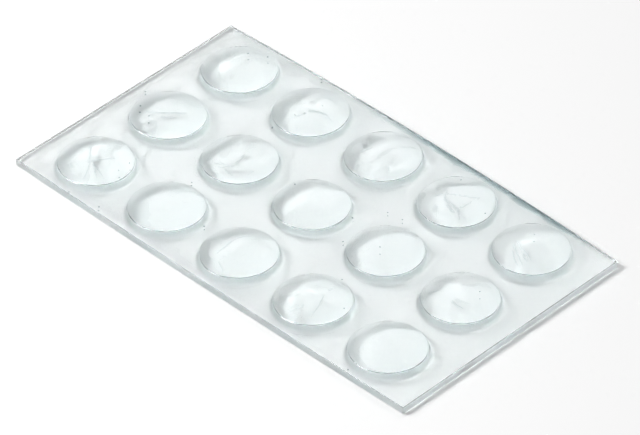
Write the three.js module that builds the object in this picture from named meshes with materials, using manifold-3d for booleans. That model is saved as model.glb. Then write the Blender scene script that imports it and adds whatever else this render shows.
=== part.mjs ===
// A sheet of clear cabinet door bumpers. Fifteen low round buttons are moulded in one piece with
// the web that carries them, and a thin peel-off film backs the whole sheet.
// Millimetres, +Z up, the long side along X. The origin is under the middle of the sheet, on the
// surface that the film lies on.

import * as THREE from "three";
import { mergeVertices } from "three/addons/utils/BufferGeometryUtils.js";
import Module from "manifold-3d";

// Button grid: columns run along X, rows along Y, and the near row is the one towards -Y. The gaps
// are the bare web between two buttons' walls.
const columnCount = 5;
const rowCount = 3;
const columnGap = 3.2;
const rowGap = 3.2;

// One button, measured from the web's upper face.
const buttonDiameter = 12.7;
const buttonHeight = 1.25;
const rimRadius = 0.35;
const rootRadius = 0.45;
const wallDraft = 0.12;
const crownRise = 0.08;
const crownFlatShare = 0.6; // flat middle of the crown, as a share of the button's radius
const toeStep = 0.04; // the root fillet meets the web in an edge this high
const buttonFacets = 28;
const arcSteps = 2;

// Web and film. The margins run from the outer buttons' walls to the sheet's edges.
const leftMargin = 4.15;
const rightMargin = 3.85;
const nearMargin = 1.05;
const farMargin = 2.25;
const webThickness = 1.4;
const webEdgeChamfer = 0.12;
const filmThickness = 0.13;
const glueLine = 0.05; // the coat of adhesive between the film and the web
const filmEdgeChamfer = 0.02;

// Shape of the sheet as it lies: both long edges bow outwards in the middle of their length, and
// beyond the near row the sheet arches up towards the middle of the far edge.
const sideBow = 0.3;
const archRise = 0.75;
const archPower = 1.3;
const archClearOfButton = 0.5;
const gridStepsX = 16;
const gridStepsY = 8;

// Sizes that follow from the ones above.
const buttonRadius = buttonDiameter / 2;
const columnPitch = buttonDiameter + columnGap;
const rowPitch = buttonDiameter + rowGap;
const gridLength = (columnCount - 1) * columnPitch + buttonDiameter;
const gridWidth = (rowCount - 1) * rowPitch + buttonDiameter;
const sheetLength = leftMargin + gridLength + rightMargin;
const sheetWidth = nearMargin + gridWidth + farMargin;
const firstColumnX = -sheetLength / 2 + leftMargin + buttonRadius;
const nearRowY = -sheetWidth / 2 + nearMargin + buttonRadius;
const webBottom = filmThickness + glueLine;
const webTop = webBottom + webThickness;
const archStartY = nearRowY + buttonRadius + rootRadius + archClearOfButton;

const wasm = await Module();
wasm.setup();

const clearMoulding = new THREE.MeshStandardMaterial({
  name: "clear_moulding",
  color: 0xdde8e5,
  roughness: 0.12,
  metalness: 0,
  transparent: true,
  opacity: 0.45,
});
const backingFilm = new THREE.MeshStandardMaterial({
  name: "backing_film",
  color: 0xe9efee,
  roughness: 0.3,
  metalness: 0,
  transparent: true,
  opacity: 0.35,
});

// 1 across the middle of the sheet's length, falling to 0 at its two ends.
function bulge(x) {
  return 1 - ((2 * x) / sheetLength) ** 2;
}

// How far the sheet stands off the surface at a place in its plan.
function archLift(x, y) {
  const share = (y - archStartY) / (sheetWidth / 2 - archStartY);
  return share > 0 ? archRise * share ** archPower * bulge(x) : 0;
}

function archGeometry(geometry) {
  const position = geometry.getAttribute("position");
  for (let i = 0; i < position.count; i += 1) {
    const lift = archLift(position.getX(i), position.getY(i));
    position.setZ(i, position.getZ(i) + lift);
  }
  return geometry;
}

// A slab over the sheet's plan between two heights, with a chamfer round its upper edge. Its faces
// are a grid fine enough to follow the bow and the arch. The slabs share their grid lines, so the
// film follows the web all over.
function slabGeometry(bottom, top, chamfer) {
  const vertices = [];
  const triangles = [];

  function addVertex(column, row, inset, z) {
    const x = (column / gridStepsX - 0.5) * sheetLength;
    const halfWidth = sheetWidth / 2 + sideBow * bulge(x);
    const y = (row / gridStepsY - 0.5) * 2 * halfWidth;
    const insetX = column === 0 ? inset : column === gridStepsX ? -inset : 0;
    const insetY = row === 0 ? inset : row === gridStepsY ? -inset : 0;
    vertices.push(x + insetX, y + insetY, z);
    return vertices.length / 3 - 1;
  }

  function addGrid(inset, z) {
    const rows = [];
    for (let row = 0; row <= gridStepsY; row += 1) {
      const line = [];
      for (let column = 0; column <= gridStepsX; column += 1) {
        line.push(addVertex(column, row, inset, z));
      }
      rows.push(line);
    }
    return rows;
  }

  function addFace(grid, facesUp) {
    for (let row = 0; row < gridStepsY; row += 1) {
      for (let column = 0; column < gridStepsX; column += 1) {
        const a = grid[row][column];
        const b = grid[row][column + 1];
        const c = grid[row + 1][column + 1];
        const d = grid[row + 1][column];
        triangles.push(...(facesUp ? [a, b, c, a, c, d] : [a, c, b, a, d, c]));
      }
    }
  }

  // The grid places round the plan, counter-clockwise from above.
  const rim = [];
  for (let column = 0; column < gridStepsX; column += 1) rim.push([column, 0]);
  for (let row = 0; row < gridStepsY; row += 1) rim.push([gridStepsX, row]);
  for (let column = gridStepsX; column > 0; column -= 1) rim.push([column, gridStepsY]);
  for (let row = gridStepsY; row > 0; row -= 1) rim.push([0, row]);

  function addBand(lower, upper) {
    for (let i = 0; i < rim.length; i += 1) {
      const next = (i + 1) % rim.length;
      triangles.push(lower[i], lower[next], upper[next], lower[i], upper[next], upper[i]);
    }
  }

  const lowerGrid = addGrid(0, bottom);
  const upperGrid = addGrid(chamfer, top);
  const lowerRim = rim.map(([column, row]) => lowerGrid[row][column]);
  const edgeRim = rim.map(([column, row]) => addVertex(column, row, 0, top - chamfer));
  const upperRim = rim.map(([column, row]) => upperGrid[row][column]);
  addFace(lowerGrid, false);
  addFace(upperGrid, true);
  addBand(lowerRim, edgeRim);
  addBand(edgeRim, upperRim);

  const geometry = new THREE.BufferGeometry();
  geometry.setAttribute("position", new THREE.Float32BufferAttribute(vertices, 3));
  geometry.setIndex(triangles);
  return archGeometry(geometry);
}

// Points of an arc in a button's half section: radius out, height up, angles in degrees.
function arcPoints(centreR, centreZ, radius, fromDegrees, toDegrees) {
  const points = [];
  for (let i = 0; i <= arcSteps; i += 1) {
    const angle = THREE.MathUtils.degToRad(
      fromDegrees + ((toDegrees - fromDegrees) * i) / arcSteps,
    );
    points.push(
      new THREE.Vector2(
        centreR + radius * Math.cos(angle),
        centreZ + radius * Math.sin(angle),
      ),
    );
  }
  return points;
}

// A button turned about its own axis, with a plug that reaches half-way down into the web.
function buttonGeometry(x, y) {
  const wallTopR = buttonRadius - wallDraft;
  const toeR = buttonRadius + rootRadius;
  const plugBottom = -webThickness / 2;
  const profile = [
    new THREE.Vector2(0, plugBottom),
    new THREE.Vector2(toeR, plugBottom),
    ...arcPoints(toeR, rootRadius + toeStep, rootRadius, 270, 180),
    ...arcPoints(wallTopR - rimRadius, buttonHeight - rimRadius, rimRadius, 0, 90),
    new THREE.Vector2(buttonRadius * crownFlatShare, buttonHeight + crownRise),
    new THREE.Vector2(0, buttonHeight + crownRise),
  ];
  const geometry = new THREE.LatheGeometry(profile, buttonFacets);
  geometry.rotateX(Math.PI / 2);
  geometry.translate(x, y, webTop);
  return archGeometry(geometry);
}

function solidOf(geometry) {
  const bare = geometry.clone();
  bare.deleteAttribute("normal");
  bare.deleteAttribute("uv");
  const merged = mergeVertices(bare);
  return new wasm.Manifold(
    new wasm.Mesh({
      numProp: 3,
      vertProperties: merged.getAttribute("position").array,
      triVerts: new Uint32Array(merged.index.array),
    }),
  );
}

function geometryOf(solid) {
  const mesh = solid.getMesh();
  const geometry = new THREE.BufferGeometry();
  geometry.setAttribute("position", new THREE.BufferAttribute(mesh.vertProperties, 3));
  geometry.setIndex(new THREE.BufferAttribute(mesh.triVerts, 1));
  geometry.computeVertexNormals();
  return geometry;
}

// The web and its buttons come out of one mould, so they are one solid.
function bumperSheetGeometry() {
  let sheet = solidOf(slabGeometry(webBottom, webTop, webEdgeChamfer));
  for (let row = 0; row < rowCount; row += 1) {
    for (let column = 0; column < columnCount; column += 1) {
      const x = firstColumnX + column * columnPitch;
      const y = nearRowY + row * rowPitch;
      sheet = sheet.add(solidOf(buttonGeometry(x, y)));
    }
  }
  return geometryOf(sheet);
}

const group = new THREE.Group();

const bumperSheet = new THREE.Mesh(bumperSheetGeometry(), clearMoulding);
bumperSheet.name = "bumper_sheet";
group.add(bumperSheet);

// The film covers the adhesive on the sheet's underside, cut to the same outline.
const filmGeometry = geometryOf(solidOf(slabGeometry(0, filmThickness, filmEdgeChamfer)));
const releaseFilm = new THREE.Mesh(filmGeometry, backingFilm);
releaseFilm.name = "release_film";
group.add(releaseFilm);

export default group;
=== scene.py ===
# A sheet of clear door bumpers on a white ground: fifteen low round buttons moulded in one piece
# with a thin web, over a peel-off film. Metres, +Z up, the sheet's long side along X.

import math

import bpy
from mathutils import Matrix, Vector, noise


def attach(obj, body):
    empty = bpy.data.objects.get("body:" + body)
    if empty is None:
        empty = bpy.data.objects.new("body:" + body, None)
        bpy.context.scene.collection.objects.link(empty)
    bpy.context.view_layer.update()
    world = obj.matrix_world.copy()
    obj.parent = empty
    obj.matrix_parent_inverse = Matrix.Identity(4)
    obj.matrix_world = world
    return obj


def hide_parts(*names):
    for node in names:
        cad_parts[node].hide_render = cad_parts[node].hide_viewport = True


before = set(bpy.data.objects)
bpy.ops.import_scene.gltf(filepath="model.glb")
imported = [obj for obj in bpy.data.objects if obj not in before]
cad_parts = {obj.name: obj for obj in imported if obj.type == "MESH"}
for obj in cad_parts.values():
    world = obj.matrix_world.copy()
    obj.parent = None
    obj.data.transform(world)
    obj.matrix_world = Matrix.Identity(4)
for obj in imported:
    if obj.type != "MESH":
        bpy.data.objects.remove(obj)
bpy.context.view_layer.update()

# Camera. The photograph looks down on the sheet from a long way off, with the long side running
# to the lower right. The grid of buttons is centred near the middle of the frame.
MM = 0.001
FRAME_WIDTH_PX = 640
FRAME_HEIGHT_PX = 435
SENSOR_WIDTH = 36
VIEW_AZIMUTH = math.radians(44.4)
VIEW_ELEVATION = math.radians(39.8)
VIEW_DISTANCE = 1000 * MM
NEAREST_SEEN = 10 * MM
SCALE_PX_PER_MM = 6.426
GRID_CENTRE_U = 312.0
GRID_CENTRE_V = 210.8
GRID_CENTRE = Vector((0.15, -0.6, 1.58)) * MM

back = Vector((
    math.sin(VIEW_AZIMUTH) * math.cos(VIEW_ELEVATION),
    -math.cos(VIEW_AZIMUTH) * math.cos(VIEW_ELEVATION),
    math.sin(VIEW_ELEVATION),
))
right = Vector((math.cos(VIEW_AZIMUTH), math.sin(VIEW_AZIMUTH), 0))
up = back.cross(right)
aside = (FRAME_WIDTH_PX / 2 - GRID_CENTRE_U) / SCALE_PX_PER_MM * MM
above = (GRID_CENTRE_V - FRAME_HEIGHT_PX / 2) / SCALE_PX_PER_MM * MM

camera_data = bpy.data.cameras.new("camera")
camera_data.sensor_width = SENSOR_WIDTH
camera_data.lens = SENSOR_WIDTH * SCALE_PX_PER_MM * (VIEW_DISTANCE / MM) / FRAME_WIDTH_PX
camera_data.clip_start = NEAREST_SEEN
camera = bpy.data.objects.new("camera", camera_data)
bpy.context.scene.collection.objects.link(camera)
camera.location = GRID_CENTRE + back * VIEW_DISTANCE + right * aside + up * above
camera.rotation_euler = back.to_track_quat("Z", "Y").to_euler()
bpy.context.scene.camera = camera


# The bumper sheet. It is one soft clear polyurethane moulding: flat-topped round buttons with
# a rolled rim and a small root fillet, joined by the web between them. It is cast face up, which
# leaves the tops wavy and creased, and a knife cuts it to its outline.
COLUMNS = 5
ROWS = 3
PITCH = 15.9 * MM
BUTTON_RADIUS = 6.35 * MM
BUTTON_HEIGHT = 1.22 * MM
BUTTON_SEGMENTS = 96
RIM_WIDTH = 0.35 * MM
RIM_DROP = 0.35 * MM
RIM_STEPS = 9
ROOT_RADIUS = 0.45 * MM
ROOT_STEPS = 5
WALL_DRAFT = 0.12 * MM
CROWN_RISE = 0.18 * MM
CROWN_POWER = 3
CROWN_RINGS = 40
LEFT_MARGIN = 10.5 * MM
RIGHT_MARGIN = 10.2 * MM
NEAR_MARGIN = 7.4 * MM
FAR_MARGIN = 8.6 * MM
MARGIN_STEPS = 5
WEB_BOTTOM = 0.18 * MM
WEB_TOP = 1.58 * MM
EDGE_RADIUS = 0.12 * MM
EDGE_STEPS = 3
CUT_LOOPS = 2
ROLL_WIDTH = 3.0 * MM
ROLL_DROP = 0.2 * MM
SIDE_BOW = 0.3 * MM
BOW_POWER = 4
ARCH_RISE = 0.75 * MM
ARCH_POWER = 1.3
ARCH_CLEAR = 0.95 * MM
SMOOTH_BELOW = math.radians(50)
HAIR = 0.002 * MM
WELD = 0.01 * MM

toe = BUTTON_RADIUS + ROOT_RADIUS
sheet_length = LEFT_MARGIN + (COLUMNS - 1) * PITCH + RIGHT_MARGIN
sheet_width = NEAR_MARGIN + (ROWS - 1) * PITCH + FAR_MARGIN
first_x = -sheet_length / 2 + LEFT_MARGIN
near_y = -sheet_width / 2 + NEAR_MARGIN
arch_start = near_y + BUTTON_RADIUS + ARCH_CLEAR


def deselect_all():
    """Leaves nothing selected, in object mode."""
    if bpy.context.object and bpy.context.object.mode != "OBJECT":
        bpy.ops.object.mode_set(mode="OBJECT")
    bpy.ops.object.select_all(action="DESELECT")


def extrude_loop(old, new):
    """Extrudes the selected loop of a round shape from one (radius, height) to the next."""
    bpy.ops.mesh.extrude_region_move(TRANSFORM_OT_translate={"value": (0, 0, new[1] - old[1])})
    bpy.ops.transform.resize(value=(new[0] / old[0], new[0] / old[0], 1), center_override=(0, 0, 0))


def arc(centre, width, height, start, end, steps):
    """Points of an arc in a half section, from just past its start to its end, in degrees."""
    for step in range(1, steps + 1):
        angle = math.radians(start + (end - start) * step / steps)
        yield centre[0] + width * math.cos(angle), centre[1] + height * math.sin(angle)


def select_where(mesh, wanted):
    """Selects the vertices of the object in hand that meet a test on their place."""
    bpy.ops.mesh.select_all(action="DESELECT")
    bpy.ops.object.mode_set(mode="OBJECT")
    for vertex in mesh.vertices:
        vertex.select = wanted(vertex.co)
    bpy.ops.object.mode_set(mode="EDIT")


# One cell of the grid: the button, from the web up to the middle of its crown.
deselect_all()
bpy.ops.mesh.primitive_circle_add(vertices=BUTTON_SEGMENTS, radius=toe, location=(0, 0, WEB_TOP))
sheet = bpy.context.object
sheet.name = "bumper_sheet_clear"
bpy.ops.object.transform_apply(location=True)
bpy.ops.object.mode_set(mode="EDIT")
bpy.ops.mesh.select_all(action="SELECT")
rim_centre = (BUTTON_RADIUS - WALL_DRAFT - RIM_WIDTH, WEB_TOP + BUTTON_HEIGHT - RIM_DROP)
section = [(toe, WEB_TOP)]
section += arc((toe, WEB_TOP + ROOT_RADIUS), ROOT_RADIUS, ROOT_RADIUS, 270, 180, ROOT_STEPS)
section += arc(rim_centre, RIM_WIDTH, RIM_DROP, 0, 88, RIM_STEPS)
crown_radius = section[-1][0]
for ring in range(1, CROWN_RINGS):
    out = 1 - ring / CROWN_RINGS
    crown_height = BUTTON_HEIGHT + CROWN_RISE * (1 - out ** CROWN_POWER)
    section.append((crown_radius * out, WEB_TOP + crown_height))
for old, new in zip(section, section[1:]):
    extrude_loop(old, new)
bpy.ops.mesh.merge(type="CENTER")

# The web round the button grows out in rings that turn from round to the square edge of the cell.
# Each is its distance from the toe of the fillet, and its share of the way to that square.
WEB_RINGS = ((0.25 * MM, 0.0), (0.55 * MM, 0.3), (0.8 * MM, 0.6), (1.1 * MM, 1.0))


def on_web(co):
    """Whether a place is on the web's upper face."""
    return co.z < WEB_TOP + HAIR


def squared(co, share):
    """A place on a round ring, moved a share of the way onto the square edge of the cell."""
    onto = PITCH / 2 / max(abs(co.x), abs(co.y))
    return Vector((co.x, co.y, 0)) * (1 - share + share * onto) + Vector((0, 0, co.z))


select_where(sheet.data, lambda co: on_web(co) and co.xy.length > toe - HAIR)
previous = toe
for from_toe, share in WEB_RINGS:
    extrude_loop((previous, 0), (toe + from_toe, 0))
    previous = toe + from_toe
bpy.ops.object.mode_set(mode="OBJECT")
for from_toe, share in reversed(WEB_RINGS):
    for vertex in sheet.data.vertices:
        if on_web(vertex.co) and abs(vertex.co.xy.length - toe - from_toe) < WELD:
            vertex.co = squared(vertex.co, share)

# Five columns and three rows of the cell. The web grows outwards to three of the sheet's edges, and
# at the near edge, which is closer than half a pitch, the last rings are drawn in.
deselect_all()
sheet.select_set(True)
bpy.context.view_layer.objects.active = sheet
for axis, count in ((0, COLUMNS), (1, ROWS)):
    repeat = sheet.modifiers.new("repeat", "ARRAY")
    repeat.count = count
    repeat.use_relative_offset = False
    repeat.use_constant_offset = True
    repeat.constant_offset_displace = [PITCH if axis == along else 0 for along in range(3)]
    repeat.use_merge_vertices = True
    repeat.merge_threshold = WELD
    bpy.ops.object.modifier_apply(modifier=repeat.name)
sheet.data.transform(Matrix.Translation((first_x, near_y, 0)))

low_x = first_x - PITCH / 2
high_x = first_x + (COLUMNS - 0.5) * PITCH
high_y = near_y + (ROWS - 0.5) * PITCH
bpy.ops.object.mode_set(mode="EDIT")
for at_edge, way in (
    (lambda co: co.x < low_x + HAIR, Vector((PITCH / 2 - LEFT_MARGIN, 0, 0))),
    (lambda co: co.x > high_x - HAIR, Vector((RIGHT_MARGIN - PITCH / 2, 0, 0))),
    (lambda co: co.y > high_y - HAIR, Vector((0, FAR_MARGIN - PITCH / 2, 0))),
):
    select_where(sheet.data, at_edge)
    for _ in range(MARGIN_STEPS):
        bpy.ops.mesh.extrude_region_move(TRANSFORM_OT_translate={"value": way / MARGIN_STEPS})
bpy.ops.object.mode_set(mode="OBJECT")
DRAWN_IN_POWER = 3.5
kept_reach = toe + WEB_RINGS[0][0]
for vertex in sheet.data.vertices:
    reach = near_y - vertex.co.y
    if reach > kept_reach:
        share = ((reach - kept_reach) / (PITCH / 2 - kept_reach)) ** DRAWN_IN_POWER
        vertex.co.y = near_y - kept_reach - share * (NEAR_MARGIN - kept_reach)

# The underside is a flat copy of the web, closed under the buttons. The cut edge joins the two, and
# the knife leaves its upper corner slightly rounded.
button_centres = [
    Vector((first_x + column * PITCH, near_y + row * PITCH))
    for row in range(ROWS)
    for column in range(COLUMNS)
]


def on_underside(co):
    """Whether a place is on the sheet's underside, before it is bent."""
    return co.z < WEB_BOTTOM + HAIR


def under_button(co):
    """Whether a place on the underside lies inside the toe of a button."""
    return on_underside(co) and min((co.xy - centre).length for centre in button_centres) < toe - HAIR


def on_outline(co):
    """Whether a place is on the sheet's outline, before it bows."""
    return abs(abs(co.x) - sheet_length / 2) < HAIR or abs(abs(co.y) - sheet_width / 2) < HAIR


bpy.ops.object.mode_set(mode="EDIT")
bpy.ops.mesh.select_all(action="SELECT")
bpy.ops.mesh.duplicate()
bpy.ops.transform.resize(value=(1, 1, 0), center_override=(0, 0, WEB_BOTTOM))
select_where(sheet.data, under_button)
bpy.ops.mesh.delete(type="VERT")
bpy.ops.mesh.select_all(action="SELECT")
bpy.ops.mesh.fill_holes(sides=BUTTON_SEGMENTS)
select_where(sheet.data, on_outline)
bpy.ops.mesh.select_mode(type="EDGE")
bpy.ops.mesh.bridge_edge_loops(number_cuts=CUT_LOOPS, interpolation="LINEAR")
bpy.ops.mesh.select_mode(type="VERT")
bpy.ops.mesh.select_all(action="SELECT")
bpy.ops.mesh.normals_make_consistent(inside=False)
select_where(sheet.data, lambda co: co.z > WEB_TOP - HAIR and on_outline(co))
bpy.ops.mesh.bevel(offset=EDGE_RADIUS, segments=EDGE_STEPS)
bpy.ops.object.mode_set(mode="OBJECT")

# The crowns are not quite even. Each keeps low waves of its own, and some have creases, drawn here in
# millimetres from the middle of their button, by column and row.
WAVE_LENGTH = 2.6 * MM
WAVE_DEPTH = 0.085 * MM
WAVE_SHARES = (
    (1.0, 0.35, 0.6, 1.1, 0.2),
    (0.4, 0.8, 0.45, 0.3, 1.1),
    (0.25, 0.5, 1.4, 0.9, 0.5),
)
CALM_EDGE = 0.5 * MM
CALM_FADE = 1.2 * MM
CREASE_WIDTH = 0.17 * MM
CREASE_DEPTH = 0.075 * MM
CREASES = {
    (3, 2): (
        ((-3.1, 0.8), (-1.8, -1.0), (1.5, -1.4), (1.7, 1.2)),
        ((1.5, -1.4), (3.3, -3.2)),
        ((-3.5, -1.6), (-2.6, -0.1), (0.0, 1.7), (1.9, 3.0)),
        ((-0.5, -1.7), (1.5, -2.3)),
    ),
    (4, 2): (
        ((-2.8, -0.3), (-1.2, -1.2), (0.4, -1.5), (2.4, -2.6), (3.5, -3.4)),
        ((-0.6, -1.6), (1.2, -2.6), (3.1, -4.1)),
        ((-2.7, -1.2), (-1.3, -2.2), (0.3, -3.2), (2.0, -4.3)),
        ((-1.7, -2.6), (-0.1, -3.9), (1.2, -4.5)),
    ),
    (1, 2): (
        ((-0.3, -0.1), (2.0, 0.9), (4.2, 0.2)),
        ((-1.2, -3.2), (-0.2, -1.0)),
    ),
    (2, 2): (
        ((-3.2, -1.5), (-2.6, -0.1)),
        ((2.5, -1.6), (3.3, -2.3)),
    ),
    (0, 1): (
        ((-3.1, -2.1), (-1.0, -0.6), (1.7, 1.9)),
        ((-0.3, -1.4), (1.2, -0.1)),
    ),
    (1, 1): (
        ((-2.0, -3.2), (-0.7, -2.8), (0.5, -2.2)),
        ((-0.9, -3.7), (0.1, -2.5)),
        ((0.2, -4.3), (0.2, -3.6), (1.3, -3.8)),
        ((0.5, -1.3), (0.2, 0.0), (-0.0, 0.8)),
        ((3.6, -2.1), (3.6, -0.9), (5.0, -1.1)),
    ),
    (4, 1): (
        ((-0.2, -1.7), (1.1, -2.0), (2.1, -1.9)),
        ((-4.4, -2.5), (-3.7, -1.5)),
    ),
    (0, 0): (
        ((-3.3, 1.8), (-0.3, -1.2), (1.9, -4.4)),
        ((0.3, -0.9), (3.2, -3.2)),
        ((0.3, -0.9), (3.9, -2.4)),
        ((-0.3, -0.7), (1.7, 2.1)),
        ((-2.3, -3.4), (-1.4, -3.8)),
    ),
    (2, 0): (
        ((-2.5, -2.1), (-2.8, 0.4), (-2.6, 2.1), (-2.1, 3.2)),
        ((-2.4, -2.6), (-2.4, -0.8), (-2.7, 1.0)),
        ((-0.4, -4.1), (1.3, -4.9)),
    ),
    (3, 0): (
        ((-1.2, -4.3), (-0.8, -3.1), (0.0, -2.2)),
        ((-0.5, -4.4), (-0.3, -3.3), (0.2, -2.7)),
        ((2.5, -3.1), (1.8, -0.9), (0.7, 1.4)),
        ((0.5, 3.0), (0.2, 3.7)),
    ),
}


def away_from(place, start, end):
    """The distance from a flat place to the straight line between two others."""
    line = end - start
    along = max(0, min(1, (place - start).dot(line) / line.length_squared))
    return (place - start - line * along).length


def relief(place, column, row):
    """The height of the waves and the depth of the creases at a place from the middle of its button."""
    fade = max(0, min(1, (BUTTON_RADIUS - CALM_EDGE - place.length) / CALM_FADE))
    from_sheet = Vector((place.x + column * PITCH, place.y + row * PITCH, 0))
    height = WAVE_SHARES[row][column] * WAVE_DEPTH * noise.noise(from_sheet / WAVE_LENGTH)
    depth = 0
    for crease in CREASES.get((column, row), ()):
        points = [Vector(point) * MM for point in crease]
        nearest = min(away_from(place, start, end) for start, end in zip(points, points[1:]))
        depth = max(depth, CREASE_DEPTH * math.exp(-(nearest / CREASE_WIDTH) ** 2))
    return height * fade, depth * fade


def on_crown(co):
    """Whether a place is on the top of a button, inside its rolled rim."""
    return co.z > WEB_TOP + BUTTON_HEIGHT - HAIR


# The surface is glossy above and tacky below. The cut edges are nearly as matte as the underside, and
# the moulded walls half as matte, up to part of the rim and a little way out over the web.
EDGE_MATTE = 0.85
WALL_MATTE = 0.5
WALL_MATTE_TOP = BUTTON_HEIGHT - 0.3 * RIM_DROP
TOE_MATTE = 0.3
TOE_HEIGHT = 0.05 * MM
TOE_REACH = toe + 0.3 * MM


def matte_share(co, reach):
    """How matte the sheet is at a place: 0 on the glossy top and 1 on the tacky underside."""
    over_web = co.z - WEB_TOP
    if on_underside(co):
        return 1
    if on_outline(co):
        return EDGE_MATTE
    if TOE_HEIGHT < over_web < WALL_MATTE_TOP:
        return WALL_MATTE
    if abs(over_web) < TOE_HEIGHT and reach < TOE_REACH:
        return WALL_MATTE if reach < toe + HAIR else TOE_MATTE
    return 0


# Painted shade greys the cut edges and creases, where the clear sheet shows dark lines.
# It is strongest along the far edge, right of the middle.
CUT_EDGE_SHADE = 0.03
CREASE_SHADE = 0.3
FAR_EDGE_BAND = 0.9 * MM
FAR_EDGE_LEAST = 0.15
FAR_EDGE_START = -20 * MM
FAR_EDGE_FADE_IN = 24 * MM
FAR_EDGE_END = 38 * MM
FAR_EDGE_FADE_OUT = 8 * MM


def shade_share(co, depth):
    """How much painted shade greys the sheet at a place, with the depth of its creases there."""
    from_far_edge = sheet_width / 2 - co.y
    if from_far_edge < FAR_EDGE_BAND:
        fade_in = (co.x - FAR_EDGE_START) / FAR_EDGE_FADE_IN
        fade_out = (FAR_EDGE_END - co.x) / FAR_EDGE_FADE_OUT
        strength = max(FAR_EDGE_LEAST, min(1, fade_in, fade_out))
        return strength * math.sqrt(1 - from_far_edge / FAR_EDGE_BAND)
    if on_outline(co) and not on_underside(co):
        return CUT_EDGE_SHADE
    return CREASE_SHADE * depth / CREASE_DEPTH


# The sheet is bent last, as it lies.
def bulge(x):
    """1 across the middle of the sheet's length, falling to 0 at its two ends."""
    return 1 - (2 * x / sheet_length) ** 2


def roll_off(co):
    """How far a place drops where the web's upper face rolls off towards the outline."""
    if on_underside(co):
        return 0
    inside = min(sheet_length / 2 - abs(co.x), sheet_width / 2 - abs(co.y))
    drop = ROLL_DROP * max(0, 1 - inside / ROLL_WIDTH) ** 2
    return drop * (co.z - WEB_BOTTOM) / (WEB_TOP - WEB_BOTTOM)


def lie(co):
    """Where a place of the flat sheet comes to lie: bowed at its long sides, arched at the far one."""
    aside = (2 * abs(co.y) / sheet_width) ** BOW_POWER
    bowed = co.y * (1 + 2 * SIDE_BOW * bulge(co.x) / sheet_width * aside)
    share = max((co.y - arch_start) / (sheet_width / 2 - arch_start), 0)
    return Vector((co.x, bowed, co.z + ARCH_RISE * share ** ARCH_POWER * bulge(co.x)))


# These attributes hold, at each place, its painted shade and how matte it is.
painted_shade = sheet.data.attributes.new("painted_shade", "FLOAT", "POINT")
matte = sheet.data.attributes.new("matte", "FLOAT", "POINT")
for vertex in sheet.data.vertices:
    column = max(0, min(COLUMNS - 1, round((vertex.co.x - first_x) / PITCH)))
    row = max(0, min(ROWS - 1, round((vertex.co.y - near_y) / PITCH)))
    from_middle = vertex.co.xy - Vector((first_x + column * PITCH, near_y + row * PITCH))
    height, depth = relief(from_middle, column, row) if on_crown(vertex.co) else (0, 0)
    matte.data[vertex.index].value = matte_share(vertex.co, from_middle.length)
    painted_shade.data[vertex.index].value = shade_share(vertex.co, depth)
    vertex.co.z += height - depth
    vertex.co.z -= roll_off(vertex.co)
    vertex.co = lie(vertex.co)
deselect_all()
sheet.select_set(True)
bpy.ops.object.shade_smooth_by_angle(angle=SMOOTH_BELOW)

# Clear polyurethane: faintly blue-green in its depth, gently uneven all over, finely rippled in
# patches, and with a few specks of dust.
POLYURETHANE_IOR = 1.49
GLOSSY_ROUGHNESS = 0.07
TACKY_ROUGHNESS = 0.6
DEPTH_COLOUR = (0.5, 0.9, 0.92, 1)
DEPTH_DENSITY = 23.0
CLEAR_COLOUR = (1, 1, 1, 1)
DUST_COLOUR = (0.1, 0.14, 0.15, 1)
# The next colour is painted shade for the cut edges, creases and far edge.
PAINTED_SHADE_COLOUR = (0.34, 0.45, 0.47, 1)
UNEVEN_HEIGHT = 0.1 * MM
RIPPLE_HEIGHT = 0.045 * MM
SPECK_EDGE = 0.06
SPECK_CORE = 0.035
SPECKLESS_SHARE = 0.93


def feed(node, inputs):
    """Sets a node's inputs, by name or number. A socket is linked, and anything else is a value."""
    for name, value in inputs.items():
        if isinstance(value, bpy.types.NodeSocket):
            node.id_data.links.new(value, node.inputs[name])
        else:
            node.inputs[name].default_value = value


def add_math(nodes, operation, first, second):
    """Adds a node for one sum of two inputs, and returns its output."""
    node = nodes.new("ShaderNodeMath")
    node.operation = operation
    feed(node, {0: first, 1: second})
    return node.outputs[0]


clear = bpy.data.materials.new("clear_polyurethane")
clear.use_nodes = True
nodes = clear.node_tree.nodes
shader = nodes["Principled BSDF"]
feed(shader, {"IOR": POLYURETHANE_IOR, "Transmission Weight": 1.0})

matte_places = nodes.new("ShaderNodeAttribute")
matte_places.attribute_name = "matte"
roughness = nodes.new("ShaderNodeMapRange")
feed(roughness, {
    "Value": matte_places.outputs["Fac"],
    "To Min": GLOSSY_ROUGHNESS,
    "To Max": TACKY_ROUGHNESS,
})

spot = nodes.new("ShaderNodeTexCoord").outputs["Object"]
unevenness = nodes.new("ShaderNodeTexNoise")
feed(unevenness, {"Vector": spot, "Scale": 0.3 / MM, "Detail": 1.0})
ripples = nodes.new("ShaderNodeTexNoise")
feed(ripples, {"Vector": spot, "Scale": 1.4 / MM, "Detail": 2.0, "Distortion": 1.2})
patches = nodes.new("ShaderNodeTexNoise")
feed(patches, {"Vector": spot, "Scale": 0.12 / MM})
patch_edges = nodes.new("ShaderNodeMapRange")
feed(patch_edges, {"Value": patches.outputs["Fac"], "From Min": 0.5, "From Max": 0.62})
patchy_ripples = add_math(nodes, "MULTIPLY", ripples.outputs["Fac"], patch_edges.outputs["Result"])
ripple_bump = nodes.new("ShaderNodeBump")
feed(ripple_bump, {"Height": patchy_ripples, "Distance": RIPPLE_HEIGHT})
bump = nodes.new("ShaderNodeBump")
feed(bump, {
    "Height": unevenness.outputs["Fac"],
    "Distance": UNEVEN_HEIGHT,
    "Normal": ripple_bump.outputs["Normal"],
})

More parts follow.
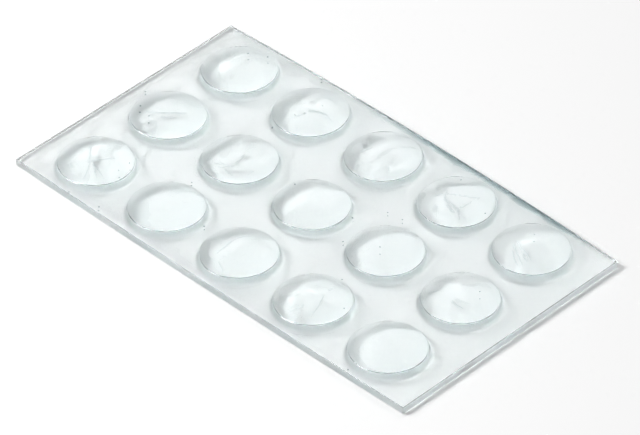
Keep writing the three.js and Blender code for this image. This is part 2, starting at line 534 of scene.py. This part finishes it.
dust = nodes.new("ShaderNodeTexVoronoi")
dust.voronoi_dimensions = "2D"
feed(dust, {"Vector": spot, "Scale": 0.33 / MM})
speck = nodes.new("ShaderNodeMapRange")
feed(speck, {"Value": dust.outputs["Distance"], "From Min": SPECK_EDGE, "From Max": SPECK_CORE})
chance = nodes.new("ShaderNodeSeparateColor")
feed(chance, {"Color": dust.outputs["Color"]})
seldom = add_math(nodes, "GREATER_THAN", chance.outputs["Red"], SPECKLESS_SHARE)
dusty = nodes.new("ShaderNodeMix")
dusty.data_type = "RGBA"
feed(dusty, {
    "Factor": add_math(nodes, "MULTIPLY", speck.outputs["Result"], seldom),
    "A": CLEAR_COLOUR,
    "B": DUST_COLOUR,
})
# Painted shade: the marked places are greyed towards a dark blue-green at the cut edges, creases and
# far edge.
shade_places = nodes.new("ShaderNodeAttribute")
shade_places.attribute_name = "painted_shade"
surface = nodes.new("ShaderNodeMix")
surface.data_type = "RGBA"
feed(surface, {"Factor": shade_places.outputs["Fac"], "A": dusty.outputs["Result"], "B": PAINTED_SHADE_COLOUR})
feed(shader, {
    "Base Color": surface.outputs["Result"],
    "Roughness": roughness.outputs["Result"],
    "Normal": bump.outputs["Normal"],
})

depth_tint = nodes.new("ShaderNodeVolumeAbsorption")
feed(depth_tint, {"Color": DEPTH_COLOUR, "Density": DEPTH_DENSITY})
feed(nodes["Material Output"], {"Volume": depth_tint.outputs["Volume"]})
sheet.data.materials.append(clear)
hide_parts("bumper_sheet")
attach(sheet, "root")


# The release film. A thin clear polyester film covers the adhesive under the whole sheet, cut with
# it to one outline, and is peeled off when a bumper is used. It bows and arches with the sheet.
FILM_THICKNESS = 0.13 * MM
FILM_COLUMNS = 34
FILM_ROWS = 20
FILM_COLOUR = (0.95, 0.97, 0.97, 1)
FILM_ROUGHNESS = 0.3
WETTED_HAZE = 0.02
LIFTED_HAZE = 0.09

deselect_all()
bpy.ops.mesh.primitive_grid_add(
    x_subdivisions=FILM_COLUMNS, y_subdivisions=FILM_ROWS, size=1, location=(0, 0, 0)
)
film = bpy.context.object
film.name = "release_film_clear"
film.data.transform(Matrix.Diagonal((sheet_length, sheet_width, 1, 1)))
film.data.transform(Matrix.Translation((0, 0, FILM_THICKNESS)))
for vertex in film.data.vertices:
    vertex.co = lie(vertex.co)
thicken = film.modifiers.new("thickness", "SOLIDIFY")
thicken.thickness = FILM_THICKNESS
thicken.offset = -1
bpy.ops.object.modifier_apply(modifier=thicken.name)
bpy.ops.object.shade_smooth_by_angle(angle=SMOOTH_BELOW)

# The film is all but invisible where the adhesive wets it, and faintly hazy between such patches.
film_clear = bpy.data.materials.new("clear_film")
film_clear.use_nodes = True
nodes = film_clear.node_tree.nodes
spot = nodes.new("ShaderNodeTexCoord").outputs["Object"]
wetting = nodes.new("ShaderNodeTexNoise")
feed(wetting, {"Vector": spot, "Scale": 0.15 / MM})
haze = nodes.new("ShaderNodeMapRange")
feed(haze, {"Value": wetting.outputs["Fac"], "To Min": WETTED_HAZE, "To Max": LIFTED_HAZE})
feed(nodes["Principled BSDF"], {
    "Base Color": FILM_COLOUR,
    "Roughness": FILM_ROUGHNESS,
    "Alpha": haze.outputs["Result"],
})
film.data.materials.append(film_clear)
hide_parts("release_film")
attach(film, "root")


# The white ground that the sheet lies on. Its paper is matt, and glows a little where the camera or
# the clear sheet looks at it, so that it is white without more light on the sheet.
GROUND_SIZE = 6.0
GROUND_DROP = 0.02 * MM
PAPER_COLOUR = (0.9, 0.9, 0.9, 1)
GLOW_SHARE = 0.1

deselect_all()
bpy.ops.mesh.primitive_plane_add(size=GROUND_SIZE, location=(0, 0, 0))
ground = bpy.context.object
ground.name = "ground"
ground.data.transform(Matrix.Translation((0, 0, -GROUND_DROP)))
paper = bpy.data.materials.new("white_ground")
paper.use_nodes = True
nodes = paper.node_tree.nodes
feed(nodes["Principled BSDF"], {
    "Base Color": PAPER_COLOUR,
    "Roughness": 1.0,
    "Specular IOR Level": 0.0,
})
glow = nodes.new("ShaderNodeEmission")
feed(glow, {"Color": (1, 1, 1, 1), "Strength": 1.0})
ray = nodes.new("ShaderNodeLightPath").outputs
seen = add_math(nodes, "MAXIMUM", ray["Is Camera Ray"], ray["Is Glossy Ray"])
seen_through = add_math(nodes, "MAXIMUM", seen, ray["Is Transmission Ray"])
glowing = nodes.new("ShaderNodeMixShader")
feed(glowing, {
    "Fac": add_math(nodes, "MULTIPLY", seen_through, GLOW_SHARE),
    1: nodes["Principled BSDF"].outputs["BSDF"],
    2: glow.outputs["Emission"],
})
feed(nodes["Material Output"], {"Surface": glowing.outputs["Shader"]})
ground.data.materials.append(paper)


# The light: a grey surround, a round soft lamp high on the left of the picture, and a broad panel far
# behind the sheet. Level faces mirror the panel, and faces that tip away from it stay grey.
SURROUND = 0.36

world = bpy.data.worlds.new("surround")
bpy.context.scene.world = world
world.use_nodes = True
feed(world.node_tree.nodes["Background"], {"Color": (1, 1, 1, 1), "Strength": SURROUND})


def add_lamp(name, heading, height, distance, size, power):
    """A soft lamp that faces the sheet. Size is a disc's diameter, or a panel's width and height."""
    lamp_data = bpy.data.lights.new(name, "AREA")
    if isinstance(size, tuple):
        lamp_data.shape = "RECTANGLE"
        lamp_data.size, lamp_data.size_y = size
    else:
        lamp_data.shape = "DISK"
        lamp_data.size = size
    lamp_data.energy = power
    lamp = bpy.data.objects.new(name, lamp_data)
    bpy.context.scene.collection.objects.link(lamp)
    way = Vector((
        math.cos(math.radians(heading)) * math.cos(math.radians(height)),
        math.sin(math.radians(heading)) * math.cos(math.radians(height)),
        math.sin(math.radians(height)),
    ))
    lamp.location = way * distance
    lamp.rotation_euler = way.to_track_quat("Z", "Y").to_euler()


add_lamp("key_softbox", heading=228, height=46, distance=0.6, size=0.28, power=3.4)
add_lamp("back_panel", heading=125, height=48, distance=2.0, size=(0.8, 0.85), power=6.4)

# Light that has gone through the clear sheet keeps its sharpness and strength.
bpy.context.scene.cycles.blur_glossy = 0
bpy.context.scene.cycles.sample_clamp_indirect = 0
bpy.context.scene.view_settings.view_transform = "Standard"

deselect_all()
